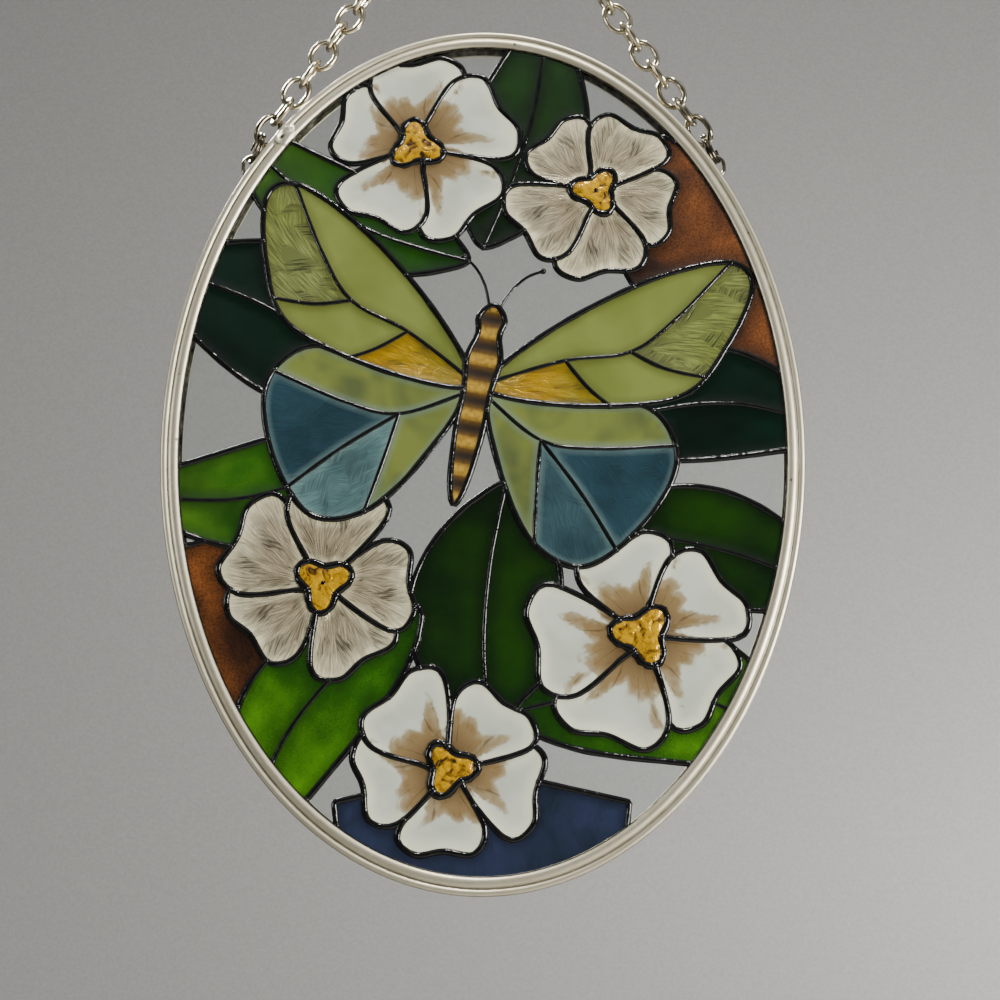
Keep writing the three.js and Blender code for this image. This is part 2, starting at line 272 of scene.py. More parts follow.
# The picture: millimetres about the oval's centre, x to the right and z up.
butterfly = {"at": (-0.5, 7.5), "turn": -11, "size": 1.16}
wings = {  # the part of it, then its outline, its tip and its veins
    "fore": ([(1.2, 1), (8, 8.6), (17, 15.6), (25, 19.2), (28.2, 17), (26.6, 9.5), (22.5, 2.6), (12, -0.6),
              (2.2, -1.2)], (26, 13),
             [[(1.5, 0.3), (9, 4.2), (16, 6.6), (20.5, 11.6), (25.2, 19)],
              [(16, 6.6), (20, 5.4), (24.5, 5.2)], [(9, 4.2), (12, 1.6), (15, -0.2)]]),
    "hind": ([(1.6, -1.2), (10, -0.8), (19, 0.6), (23.2, -4.6), (21, -12.2), (15.4, -18.4), (9.2, -16.8),
              (4.2, -9.6)], (20, -12),
             [[(1.8, -2), (8, -5.4), (14, -5.2), (22.6, -3.2)], [(8, -5.4), (13.5, -10.5), (18.4, -16)],
              [(8, -5.4), (8.6, -11), (9.4, -16.6)]]),
}
bodyHalf = [(0, 9.2), (1.5, 7.6), (1.2, 5.6), (1.9, 2.6), (1.5, -1.2), (1.5, -6), (0.9, -12), (0, -14.4)]
bodyShape = bodyHalf + [(-x, z) for x, z in bodyHalf[-2:0:-1]]
antenna = [(0.4, 8.4), (1.5, 11.2), (3.0, 13.2), (4.6, 14.2)]
petalShape = [(0.02, 0), (0.22, 0.2), (0.64, 0.47), (0.93, 0.37), (0.93, 0.02), (1, -0.3), (0.74, -0.5)]
blossom = {"petals": 5, "breadth": 1.02, "sizeVaries": 0.08, "turnVaries": 6, "heart": 0.24, "lobes": 3,
           "lobeDepth": 0.3, "heartPoints": 15}
blossoms = {"foot": ((-4, -42), 11.5, 50), "lower_left": ((-20, -19), 12.5, 5),  # middle, radius and turn
            "lower_right": ((20, -25.5), 13.5, 35), "upper_right": ((15, 34), 11.5, 60),
            "upper_left": ((-9, 40.5), 12.5, 20)}
leaves = {"lower_right": ((12, -12), (48, -22), 15, 0.06), "foot_right": ((4, -35), (44, -44), 17, 0.16),
          "foot_left": ((-8, -22), (-30, -56), 15, -0.12), "middle": ((3, -6), (2, -44), 19, -0.06),
          "lower_left": ((-12, 0), (-48, -7), 14, 0.12), "left": ((-12, 5), (-46, 24), 20, -0.08),
          "right": ((14, 1), (48, 0), 15, 0.12), "top": ((0, 26), (9, 62), 16, -0.05),
          "upper_left": ((-2, 24), (-36, 46), 13, 0.1)}  # base, tip, width and bend
grounds = {"foot": [(-18, -46), (0, -42), (18, -46), (16, -60), (-16, -60)],
           "lower_left": [(-46, -16), (-32, -13), (-22, -26), (-24, -42), (-42, -34)],
           "upper_right": [(24, 42), (46, 30), (46, 0), (28, 4), (18, 24)]}

outlines = []  # front one first: its film, what it is, its points and the frame that its strokes follow
veins = []  # the outline each one lies on, and its points


def addOutline(film, part, points, origin, tip, radial=False):
    outlines.append({"film": film, "part": part, "points": points, "origin": np.array(origin, float),
                     "tip": np.array(tip, float), "radial": radial})
    return len(outlines) - 1


def addVeins(owner, lines):
    veins.extend((owner, smoothLine(line, closed=False)) for line in lines)


def onButterfly(points, mirrored=False):
    return setShape(points, butterfly["at"], butterfly["turn"], butterfly["size"], mirrored)


def addWing(film, kind, mirrored):
    outline, far, lines = wings[kind]
    origin, tip = onButterfly([(0, 0), far], mirrored)
    owner = addOutline(film, kind, smoothLine(onButterfly(outline, mirrored)), origin, tip, radial=True)
    for line in lines:  # each runs on past the wing's edge, which cuts it off
        last, before = np.array(line[-1]), np.array(line[-2])
        addVeins(owner, [onButterfly(line + [tuple(last + 0.35 * (last - before))], mirrored)])


def addBlossom(film, at, radius, turn):
    heart = []
    for i in range(blossom["heartPoints"]):
        angle = 2 * math.pi * i / blossom["heartPoints"]
        lobe = blossom["lobeDepth"] * math.cos(blossom["lobes"] * angle + turn)
        reach = radius * blossom["heart"] * (1 + lobe)
        heart.append((at[0] + reach * math.cos(angle), at[1] + reach * math.sin(angle)))
    addOutline(film, "heart", smoothLine(heart), at, heart[0])
    for k in range(blossom["petals"]):
        reach = radius * (1 + blossom["sizeVaries"] * math.sin(1.7 * k + turn))
        angle = turn + 360 / blossom["petals"] * k + blossom["turnVaries"] * math.sin(2.1 * k + turn)
        petal = setShape([(x * reach, y * reach * blossom["breadth"]) for x, y in petalShape], at, angle)
        tip = setShape([(reach, 0)], at, angle)[0]
        addOutline(film, "petal", smoothLine(petal), at, tip, radial=True)


def addLeaf(film, base, tip, width, bend, steps=16):
    base, tip = np.array(base, float), np.array(tip, float)
    length = float(np.linalg.norm(tip - base))
    along = (tip - base) / length
    aside = np.array((-along[1], along[0]))

    def spot(s, side=0.0):
        return tuple(base + along * length * s + aside * (bend * length * math.sin(math.pi * s) + side))

    half = [width / 2 * max(0.0, math.sin(math.pi * (i / steps) ** 0.8)) ** 0.9 for i in range(steps + 1)]
    right = [spot(i / steps, -half[i]) for i in range(1, steps)]
    left = [spot(i / steps, half[i]) for i in range(steps - 1, 0, -1)]
    edge = smoothLine([spot(0)] + right + [spot(1)] + left)
    addVeins(addOutline(film, "leaf", edge, base, tip), [[spot(s) for s in (0, 0.28, 0.56, 0.84)]])


bodyEdge = onButterfly(bodyShape)
addOutline("paint_forewings", "body", smoothLine(bodyEdge), bodyEdge[len(bodyHalf) - 1], bodyEdge[0])
for film, kind, mirrored in (("forewings", "fore", False), ("forewings", "fore", True),
                             ("hindwing_right", "hind", False), ("hindwing_left", "hind", True)):
    addWing("paint_" + film, kind, mirrored)
for name, values in blossoms.items():
    addBlossom("paint_blossom_" + name, *values)
for name, values in leaves.items():
    addLeaf("paint_leaf_" + name, *values)
for name, points in grounds.items():
    addOutline("paint_ground_" + name, "ground", points, (0, 0), (0, 1))
print("picture laid out:", len(outlines), "outlines,", len(veins), "veins")

window = {"inset": 2.4, "steps": 220, "grain": 0.75, "jitter": 0.25, "clearOfLines": 0.34}


def gatherPicture():  # points, edges and faces to divide the glass along, and each edge's outline
    points, edges, faces, veinOf = [], [], [], []
    angles = [2 * math.pi * i / window["steps"] for i in range(window["steps"])]
    opening = [onOval(a, -window["inset"])[0] for a in angles]
    for loop in [outline["points"] for outline in outlines] + [opening]:
        start = len(points)
        loop = divideLine(loop, window["grain"], True)
        x, z = np.array(loop).T
        if np.sum(x * np.roll(z, -1) - z * np.roll(x, -1)) < 0:  # faces have to run anticlockwise
            loop = loop[::-1]
        points.extend(Vector(p) for p in loop)
        faces.append(list(range(start, start + len(loop))))
    for owner, line in veins:
        start = len(points)
        line = divideLine(line, window["grain"], False)
        points.extend(Vector(p) for p in line)
        edges.extend((start + i, start + i + 1) for i in range(len(line) - 1))
        veinOf.extend([owner] * (len(line) - 1))
    return points, edges, faces, veinOf


def grainPoints(near):  # a loose grid over the oval, clear of the lines
    grain, jitter = window["grain"], window["jitter"]
    halfX, halfZ = ovalHalf
    for row in range(int(-halfZ / grain), int(halfZ / grain) + 1):
        for column in range(int(-halfX / grain), int(halfX / grain) + 1):
            x = (column + 0.5 * (row % 2) + jitter * noise.noise((column * 1.7, row * 1.3, 3))) * grain
            z = (row + jitter * noise.noise((column * 1.1, row * 1.9, 7))) * grain
            if near.find((x, z, 0))[2] > window["clearOfLines"]:
                yield Vector((x, z))


def arrangePicture():  # the divided glass: points, triangles, front outline of each, sides and lines
    points, edges, faces, veinOf = gatherPicture()
    points += list(grainPoints(pointTree(points)))
    found = delaunay_2d_cdt(points, edges, faces, 0, 1e-5)
    spots = np.array([(p[0], p[1]) for p in found[0]])
    opening = len(outlines)
    triangles, tops = [], []
    for triangle, inside in zip(found[2], found[5]):
        if opening in inside:
            triangles.append(triangle)
            tops.append(min(inside))  # the opening itself where no outline covers the glass
    sides = {}
    for index, triangle in enumerate(triangles):
        for a, b in zip(triangle, triangle[1:] + triangle[:1]):
            sides.setdefault((min(a, b), max(a, b)), []).append(index)
    veinEdges = {}
    for (a, b), source in zip(found[1], found[4]):
        owners = [veinOf[s] for s in source if s < len(veinOf)]
        if owners:
            veinEdges[(min(a, b), max(a, b))] = owners
    lines = []  # edges where a line shows: the two points, and whether it is a vein
    for edge, both in sides.items():
        if len(both) == 2:
            first, second = tops[both[0]], tops[both[1]]
            if first != second:
                lines.append((*edge, False))
            elif first in veinEdges.get(edge, ()):
                lines.append((*edge, True))
    return spots, triangles, tops, sides, lines


spots, triangles, tops, triangleSides, lineEdges = arrangePicture()
print("picture divided:", len(triangles), "triangles,", len(lineEdges), "line edges")


def splitCells():  # triangles grouped into cells bounded by lines
    barred = {(a, b) for a, b, _ in lineEdges}
    reached = [tops[i] == len(outlines) for i in range(len(triangles))]
    cells = []
    for seed in range(len(triangles)):
        if reached[seed]:
            continue
        reached[seed] = True
        stack, members = [seed], []
        while stack:
            current = stack.pop()
            members.append(current)
            loop = triangles[current]
            for a, b in zip(loop, loop[1:] + loop[:1]):
                edge = (min(a, b), max(a, b))
                if edge in barred:
                    continue
                for other in triangleSides[edge]:
                    if not reached[other] and tops[other] == tops[seed]:
                        reached[other] = True
                        stack.append(other)
        cells.append({"outline": outlines[tops[seed]], "members": members})
    return cells


cells = splitCells()
linePoints = sorted({i for a, b, _ in lineEdges for i in (a, b)})
between = [spots[a] * (1 - t) + spots[b] * t for a, b, _ in lineEdges for t in (1 / 3, 2 / 3)]
lineTree = pointTree([spots[i] for i in linePoints] + between)
lineDistance = np.array([lineTree.find((*p, 0))[2] for p in spots])
print("cells:", len(cells))

film = {"back": -1.075, "thickness": 0.1, "meniscus": 0.13, "meniscusWidth": 0.5, "ripple": 0.035}
heart = {"thickness": 0.42, "edge": 0.2, "lumps": 0.1}


def filmHeight(index, part):
    x, z = spots[index]
    gap = lineDistance[index]
    inwards = min(1.0, gap)
    if part == "heart":
        crown = (heart["thickness"] - heart["edge"]) * inwards ** 0.6
        return heart["edge"] + crown + heart["lumps"] * noise.noise((x * 1.3, z * 1.3, 2)) * inwards
    broad, fine = noise.noise((x * 0.22, z * 0.22, 4)), noise.noise((x, z, 9))
    meniscus = film["meniscus"] * math.exp(-((gap / film["meniscusWidth"]) ** 2))
    return film["thickness"] + meniscus + film["ripple"] * broad + 0.4 * film["ripple"] * fine


def buildFilms(name, chosen, material):  # closed thin solids, one for each chosen cell, in one mesh
    points, faces, strokes, rims = [], [], [], set()
    floats = {"along": [], "gap": [], "tone": []}
    for cell in chosen:
        outline = cell["outline"]
        origin = outline["origin"]
        axis = outline["tip"] - origin
        length = float(np.linalg.norm(axis))
        axis = axis / length
        square = np.array((-axis[1], axis[0]))
        members = [triangles[i] for i in cell["members"]]
        used = sorted({i for t in members for i in t})
        order = {v: k for k, v in enumerate(used)}
        start, count = len(points), len(used)
        tone = float(np.linalg.norm(np.mean([spots[i] for i in used], axis=0) - origin)) / length
        for front in (True, False):
            for i in used:
                x, z = spots[i]
                y = film["back"] - filmHeight(i, outline["part"]) if front else film["back"]
                points.append(place(x, y, z))
                away = spots[i] - origin
                along, aside = float(away @ axis), float(away @ square)
                for key, value in (("along", along / length), ("gap", lineDistance[i]), ("tone", tone)):
                    floats[key].append(value)
                if outline["radial"]:  # strokes that run out from one point
                    strokes.append((math.atan2(aside, along) * length * 0.6, float(np.linalg.norm(away))))
                else:
                    strokes.append((aside, along))
        border = set()
        for triangle in members:
            a, b, c = (start + order[i] for i in triangle)
            faces += [[a, b, c], [count + c, count + b, count + a]]
            for pair in ((a, b), (b, c), (c, a)):  # a side shared by two triangles isn't on the border
                if pair[::-1] in border:
                    border.remove(pair[::-1])
                else:
                    border.add(pair)
        for a, b in sorted(border):
            faces.append([b, a, a + count, b + count])
            rims.add((min(a, b), max(a, b)))
    mesh = bpy.data.meshes.new(name)
    mesh.from_pydata(points, [], faces)
    setFloats(mesh, **floats)
    setStrokes(mesh, strokes)
    mesh.shade_smooth()
    for edge in mesh.edges:
        if tuple(sorted(edge.vertices)) in rims:
            edge.use_edge_sharp = True
    mesh.materials.append(material)
    return meshObject(name, mesh)


# Colours go from the base of a petal, leaf or wing to its tip. Brushed is how far strokes show on the way.
# Shade is a colour in blotches, its strength and their size.
# Edge is a colour beside the lines, its strength and its width.
# Strokes is how far the brush strokes' painted sheen darkens and lightens the colour.
plainPaint = {"byTone": False, "brushed": [], "cross": 1.0, "strokes": (0.5, 1.6), "metallic": 0.0,
              "clear": 0.0, "grain": 0.0, "flame": None}
paintLooks = {
    "olive": {"slot": "olive_paint", "byTone": True, "metallic": 0.3, "roughness": 0.26, "clear": 0.05,
              "stops": [(0.0, (140, 108, 0)), (0.4, (140, 108, 0)), (0.46, (108, 119, 56)),
                        (0.7, (116, 126, 62)), (0.78, (92, 100, 48)), (1.0, (100, 106, 62))],
              "brushed": [(0.0, 0.9), (0.4, 0.9), (0.46, 0.0), (0.7, 0.0), (0.78, 0.95), (1.0, 0.95)],
              "shade": ((84, 94, 30), 0.5, 9.0), "edge": ((46, 44, 6), 0.45, 1.1), "strokes": (0.35, 2.3)},
    "steelBlue": {"slot": "blue_paint", "byTone": True, "metallic": 0.15, "roughness": 0.2, "clear": 0.1,
                  "stops": [(0.0, (108, 118, 56)), (0.6, (114, 124, 60)), (0.66, (86, 116, 116)),
                            (0.78, (86, 116, 116)), (0.8, (32, 58, 68)), (1.0, (48, 76, 86))],
                  "brushed": [(0.0, 0.0), (0.6, 0.0), (0.66, 0.6), (0.78, 0.6), (0.8, 0.35), (1.0, 0.35)],
                  "shade": ((18, 38, 46), 0.5, 7.0), "edge": ((110, 134, 130), 0.4, 0.8)},
    "deepBlue": {"slot": "deep_blue_paint", "metallic": 0.05, "roughness": 0.16, "clear": 0.25,
                 "stops": [(0.0, (40, 48, 72)), (1.0, (64, 72, 98))], "brushed": [(0.0, 0.3)],
                 "shade": ((24, 34, 42), 0.8, 6.0), "edge": ((10, 14, 26), 0.5, 1.2)},
    "white": {"slot": "white_paint", "roughness": 0.14,
              "stops": [(0.0, (184, 188, 172)), (0.6, (184, 190, 176)), (0.86, (194, 198, 182)),
                        (1.0, (212, 214, 188))],
              "shade": ((156, 162, 148), 0.5, 6.0), "edge": ((222, 222, 194), 0.65, 1.6),
              "flame": {"colour": (124, 104, 70), "thread": (68, 48, 24), "pale": (164, 156, 130),
                        "reach": 0.54, "tongues": 0.2, "fray": 0.05}},
    "pearl": {"slot": "pearl_paint", "metallic": 0.4, "roughness": 0.26,
              "stops": [(0.0, (92, 80, 58)), (0.3, (124, 114, 92)), (0.7, (140, 132, 110)),
                        (1.0, (206, 200, 168))],
              "brushed": [(0.0, 0.95), (0.7, 0.9), (1.0, 0.4)], "strokes": (0.3, 2.5), "cross": 0.45,
              "shade": ((112, 98, 74), 0.4, 3.5), "edge": ((206, 200, 164), 0.55, 1.0)},
    "terracotta": {"slot": "terracotta_paint", "metallic": 0.1, "roughness": 0.24, "clear": 0.1, "grain": 0.8,
                   "stops": [(0.0, (118, 68, 30)), (1.0, (110, 64, 30))], "brushed": [(0.0, 0.1)],
                   "shade": ((40, 22, 10), 0.95, 9.0), "edge": ((26, 13, 5), 0.75, 2.4)},
    "bottle": {"slot": "bottle_green_paint", "roughness": 0.1, "clear": 0.3,
               "stops": [(0.0, (4, 48, 22)), (0.5, (3, 28, 14)), (1.0, (4, 38, 26))],
               "shade": ((3, 14, 10), 0.75, 12.0), "edge": ((1, 8, 4), 0.6, 1.8)},
    "darkLeaf": {"slot": "dark_green_paint", "roughness": 0.1, "clear": 0.3,
                 "stops": [(0.0, (10, 34, 2)), (0.5, (24, 58, 3)), (1.0, (10, 38, 10))],
                 "shade": ((8, 26, 8), 0.75, 11.0), "edge": ((3, 12, 3), 0.6, 1.8)},
    "midLeaf": {"slot": "mid_green_paint", "roughness": 0.12, "clear": 0.25,
                "stops": [(0.0, (16, 54, 3)), (0.45, (38, 88, 8)), (1.0, (84, 124, 34))],
                "shade": ((18, 54, 6), 0.75, 8.0), "edge": ((8, 30, 4), 0.55, 1.6)},
    "brightLeaf": {"slot": "bright_green_paint", "metallic": 0.1, "roughness": 0.2, "clear": 0.2,
                   "grain": 0.3, "brushed": [(0.0, 0.12)],
                   "stops": [(0.0, (14, 50, 1)), (0.35, (46, 100, 3)), (0.7, (84, 142, 10)),
                             (1.0, (28, 74, 3))],
                   "shade": ((16, 56, 2), 0.7, 9.0), "edge": ((10, 40, 1), 0.6, 1.7)},
}
# Coats lie one over another, each with its turn in degrees and its range of painted sheen, from darker to
# lighter.
brush = {"width": 0.14, "length": 3.0, "patch": 2.6, "under": 0.45,
         "coats": ((4, 0.1, 0.8), (-34, 0.3, 1.0), (30, 0.0, 0.75), (-12, 0.25, 1.0))}


def strokesAndPaintedSheen(tree, cross):  # overlapping patches of fine strokes, each patch its own way and with its own painted sheen
    def stretched(vector, across, along, detail):
        scaled = addNode(tree, "ShaderNodeMapping", {"Vector": vector, "Scale": (across, along, 1)})
        values = {"Vector": scaled.outputs[0], "Scale": 1.0, "Detail": detail}
        return addNode(tree, "ShaderNodeTexNoise", values).outputs["Fac"]

    where = addNode(tree, "ShaderNodeUVMap", uv_map="strokes").outputs["UV"]
    value = brush["under"]
    for turn, low, high in brush["coats"]:
        values = {"Vector": where, "Location": (turn, 2 * turn, 0),
                  "Rotation": (0, 0, math.radians(cross * turn))}
        turned = addNode(tree, "ShaderNodeMapping", values).outputs[0]
        fine = stretched(turned, 1 / brush["width"], 1 / brush["length"], 2.0)
        broad = stretched(turned, 1.4 / brush["patch"], 0.5 / brush["patch"], 1.0)
        light = remap(tree, fine, 0.34, 0.68, low, high)
        value = mixValue(tree, remap(tree, broad, 0.47, 0.53), value, light)
    return value


def addFlame(tree, colour, along, flame):  # another colour that runs out from the heart, with threads
    swing = flame["tongues"]
    tongues = remap(tree, strokeNoise(tree, 4.5, 12.0, 1, 0.8), 0.35, 0.65, -swing, swing)
    fray = remap(tree, spaceNoise(tree, 1.6, 3, 0.5, 1.2), 0.3, 0.7, -flame["fray"], flame["fray"])
    out = maths(tree, "ADD", maths(tree, "ADD", along, tongues), fray)
    reach, thread = flame["reach"], rgb(*flame["thread"])
    paling = remap(tree, out, reach - 0.2, reach - 0.02, 0, 0.75)
    flamed = mixColour(tree, paling, rgb(*flame["colour"]), rgb(*flame["pale"]))
    flamed = mixColour(tree, remap(tree, along, 0.16, 0.42, 0.8, 0), flamed, thread)
    threads = remap(tree, strokeNoise(tree, 1.1, 7.0, 2, 2.2), 0.57, 0.66, 0, 0.6)
    flamed = mixColour(tree, threads, flamed, thread)
    return mixColour(tree, remap(tree, out, reach, reach - 0.07), colour, flamed)


def paintMaterial(name, look):
    material, tree, shader = newMaterial(name, Metallic=look["metallic"], Coat_Weight=0.5,
                                         Coat_Roughness=0.05, Transmission_Weight=look["clear"], IOR=1.5)
    along = attribute(tree, "along")
    if look["byTone"]:  # each pane of a wing has one place on the way, and so one colour
        where = wandering = attribute(tree, "tone")
    else:
        where = along
        wandering = maths(tree, "ADD", along, remap(tree, spaceNoise(tree, 3.5, 3), 0.3, 0.7, -0.1, 0.1))
    colour = ramp(tree, wandering, [(p, rgb(*c)) for p, c in look["stops"]])
    shadeColour, shadeAmount, shadeSize = look["shade"]
    blotch = remap(tree, spaceNoise(tree, shadeSize, 2, 0.5, 0.4), 0.4, 0.66, 0, shadeAmount)
    colour = mixColour(tree, blotch, colour, rgb(*shadeColour))
    edgeColour, edgeAmount, edgeWidth = look["edge"]
    beside = remap(tree, attribute(tree, "gap"), 0.3, 0.3 + edgeWidth, edgeAmount, 0)
    colour = mixColour(tree, beside, colour, rgb(*edgeColour))
    if look["flame"]:
        colour = addFlame(tree, colour, along, look["flame"])
    normal = bump(tree, spaceNoise(tree, 2.8, 1), 0.05, 0.3)
    roughness, light = look["roughness"], None
    if look["brushed"]:
        shown = ramp(tree, where, [(p, (v, v, v, 1)) for p, v in look["brushed"]])
        stroke = mixValue(tree, shown, 0.5, strokesAndPaintedSheen(tree, look["cross"]))
        # Painted sheen: the strokes darken and lighten the colour in patches, as brushed metallic paint
        # catches the light.
        light = remap(tree, stroke, 0.1, 0.9, *look["strokes"])
        rough = remap(tree, stroke, 0.2, 0.8, roughness + 0.08, roughness - 0.08)
        normal = bump(tree, stroke, 0.05, 0.5, normal)
    else:  # smooth enamel, a little duller in places
        rough = remap(tree, spaceNoise(tree, 5.0, 2), 0.3, 0.7, roughness - 0.03, roughness + 0.05)
    if look["grain"]:
        grain = look["grain"]
        speck = remap(tree, spaceNoise(tree, 0.28, 2), 0.35, 0.7, 1 - 0.5 * grain, 1 + 0.35 * grain)
        light = maths(tree, "MULTIPLY", light, speck) if light else speck
    if light:
        grey = addNode(tree, "ShaderNodeCombineColor", {"Red": light, "Green": light, "Blue": light})
        colour = mixColour(tree, 1.0, colour, grey.outputs[0], "MULTIPLY")
    feed(tree, shader, {"Base Color": colour, "Roughness": rough, "Normal": normal})
    return material


filmLook = {"forewings": "olive", "hindwing": "steelBlue", "blossom_foot": "white",
            "blossom_lower_left": "pearl", "blossom_lower_right": "white", "blossom_upper_right": "pearl",
            "blossom_upper_left": "white", "leaf_lower_right": "darkLeaf", "leaf_foot": "brightLeaf",
            "leaf_middle": "darkLeaf", "leaf_lower_left": "midLeaf", "leaf_left": "bottle",
            "leaf_right": "bottle", "leaf_top": "darkLeaf", "leaf_upper_left": "midLeaf",
            "ground_foot": "deepBlue", "ground": "terracotta"}


def cellsOf(*parts):
    return [c for c in cells if c["outline"]["part"] in parts]


paints = {key: paintMaterial(f"{key} enamel", plainPaint | look) for key, look in paintLooks.items()}
for node in sorted({outline["film"] for outline in outlines}):
    key = filmLook[next(k for k in filmLook if node.startswith("paint_" + k))]
    chosen = [c for c in cellsOf("fore", "hind", "petal", "leaf", "ground") if c["outline"]["film"] == node]
    films = buildFilms(node.replace("paint_", "enamel_"), chosen, paints[key])
    finishPiece(films, paintLooks[key]["slot"], node)


def amberMaterial():
    material, tree, shader = newMaterial("amber heart", Transmission_Weight=0.15, Coat_Weight=1.0,
                                         Coat_Roughness=0.04, Metallic=0.35)
    blotch = spaceNoise(tree, 1.3, 3, 0.55, 1.2)
    stops = [(0.34, rgb(52, 30, 1)), (0.4, rgb(138, 98, 2)), (0.48, rgb(198, 148, 2)),
             (0.64, rgb(234, 182, 6))]
    feed(tree, shader, {"Base Color": ramp(tree, blotch, stops),
                        "Roughness": remap(tree, blotch, 0.3, 0.7, 0.34, 0.12),
                        "Normal": bump(tree, blotch, 0.25, 0.7)})
    return material


def bodyMaterial():
    material, tree, shader = newMaterial("butterfly body", Coat_Weight=0.8, Coat_Roughness=0.08, Metallic=0.2)
    bands = maths(tree, "SINE", maths(tree, "MULTIPLY", attribute(tree, "along"), 46.0))
    stops = [(0.0, rgb(30, 20, 8)), (0.5, rgb(96, 70, 24)), (1.0, rgb(190, 152, 60))]
    colour = ramp(tree, remap(tree, bands, -1, 1), stops)
    colour = mixColour(tree, remap(tree, spaceNoise(tree, 0.6, 3), 0.4, 0.7, 0, 0.5), colour, rgb(48, 32, 10))
    feed(tree, shader, {"Base Color": colour, "Roughness": remap(tree, bands, -1, 1, 0.4, 0.22),
                        "Normal": bump(tree, bands, 0.08, 0.6)})
    return material


finishPiece(buildFilms("blossom_hearts", cellsOf("heart"), amberMaterial()), "olive_paint")
finishPiece(buildFilms("butterfly_body", cellsOf("body"), bodyMaterial()), "olive_paint")
print("paint films done")

pearlBlossoms = ("paint_blossom_lower_left", "paint_blossom_upper_right")
relief = {"back": -1.06, "height": 0.45, "halfWidth": 0.42, "veinHalfWidth": 0.33, "heartHalfWidth": 0.54,
          "step": 0.5, "bead": 1.12, "wander": 0.13, "sides": 8, "antenna": (0.2, 2.1), "crease": (0.26, 1.9)}


def reliefMaterial():
    material, tree, shader = newMaterial("black outline paste", Specular_IOR_Level=0.4)
    lumps = spaceNoise(tree, 0.9, 3)
    stops = [(0.3, (0.001, 0.0012, 0.0012, 1)), (0.8, (0.006, 0.006, 0.005, 1))]
    feed(tree, shader, {"Base Color": ramp(tree, lumps, stops),
                        "Roughness": remap(tree, lumps, 0.3, 0.7, 0.05, 0.12),
                        "Normal": bump(tree, lumps, 0.12, 0.8)})
    return material


def domeObject(name, height, around=12, up=4):  # half a bead a millimetre in radius, flat on the glass
    shape = bmesh.new()
    rings = []
    for level in range(up):
        angle = math.pi / 2 * level / up
        turns = [2 * math.pi * k / around for k in range(around)]
        rings.append([shape.verts.new((math.cos(angle) * math.cos(a) * mm, -height * math.sin(angle) * mm,
                                       math.cos(angle) * math.sin(a) * mm)) for a in turns])
    top = shape.verts.new((0, -height * mm, 0))
    for low, high in zip(rings, rings[1:]):
        for k in range(around):
            shape.faces.new((low[k], low[(k + 1) % around], high[(k + 1) % around], high[k]))
    for k in range(around):
        shape.faces.new((rings[-1][k], rings[-1][(k + 1) % around], top))
    shape.faces.new(rings[0])
    bmesh.ops.recalc_face_normals(shape, faces=shape.faces)
    mesh = bpy.data.meshes.new(name)
    shape.to_mesh(mesh)
    shape.free()
    return meshObject(name, mesh)


def sweepTree(name, profile, material, beads=None):  # a section swept along every edge path of a mesh
    tree, given = newTree(name, {"Step": "Float", "Radius name": "String"})
    radius = named(tree, given["Radius name"])
    curve = addNode(tree, "GeometryNodeMeshToCurve", {"Mesh": given["Geometry"]}).outputs[0]
    curve = addNode(tree, "GeometryNodeSetCurveRadius", {"Curve": curve, "Radius": radius}).outputs[0]
    resampled = {"Curve": curve, "Length": given["Step"]}
    curve = addNode(tree, "GeometryNodeResampleCurve", resampled, mode="LENGTH").outputs[0]
    turned = {"Curve": curve, "Normal": forwards}
    curve = addNode(tree, "GeometryNodeSetCurveNormal", turned, mode="FREE").outputs[0]
    values = {"Curve": curve, "Profile Curve": curveOf(tree, profile), "Fill Caps": True, "Scale": radius}
    swept = addNode(tree, "GeometryNodeCurveToMesh", values).outputs[0]
    if beads:
        bead = addNode(tree, "GeometryNodeObjectInfo", {"Object": beads}).outputs["Geometry"]
        size = named(tree, "bead")
        shown = addNode(tree, "FunctionNodeCompare", {"A": size, "B": 0.01}, operation="GREATER_THAN")
        values = {"Points": given["Geometry"], "Selection": shown.outputs[0], "Instance": bead, "Scale": size}
        placed = addNode(tree, "GeometryNodeInstanceOnPoints", values).outputs[0]
        joined = tree.nodes.new("GeometryNodeJoinGeometry")
        for part in (swept, placed):
            tree.links.new(part, joined.inputs[0])
        swept = joined.outputs[0]
    endTree(tree, swept, material)
    return tree


def freeStrokes():  # antennae, and creases in the pearl blossoms' hearts: points, half-width and end bead
    strokes = [(smoothLine(onButterfly(antenna, mirrored), closed=False), *relief["antenna"])
               for mirrored in (False, True)]
    for outline in outlines:
        if outline["part"] == "heart" and outline["film"] in pearlBlossoms:
            middle, edge = outline["origin"], np.array(outline["points"])
            reach = np.linalg.norm(edge - middle, axis=1)
            count = len(edge)
            notches = [i for i in range(count)
                       if reach[i] <= min(reach[(i + k) % count] for k in range(-4, 5))]
            for i in notches[:blossom["lobes"]]:
                line = [tuple(edge[i] * (1 - s) + middle * s) for s in (0, 0.33, 0.67, 1)]
                strokes.append((line, *relief["crease"]))
    return strokes


def lineWidths():  # how many lines meet at each point of the lines, and their half-width there
    hearts = [outline for outline in outlines if outline["part"] == "heart"]
    heartTree = pointTree([p for outline in hearts for p in outline["points"]])
    meeting, width = {}, {}
    for a, b, isVein in lineEdges:
        for i in (a, b):
            meeting[i] = meeting.get(i, 0) + 1
            width[i] = max(width.get(i, 0), relief["veinHalfWidth" if isVein else "halfWidth"])
    for i in linePoints:
        x, z = spots[i]
        if heartTree.find((x, z, 0))[2] < 0.3:
            width[i] = relief["heartHalfWidth"]
        width[i] *= 1 + relief["wander"] * noise.noise((x * 0.35, z * 0.35, 5))
    return meeting, width


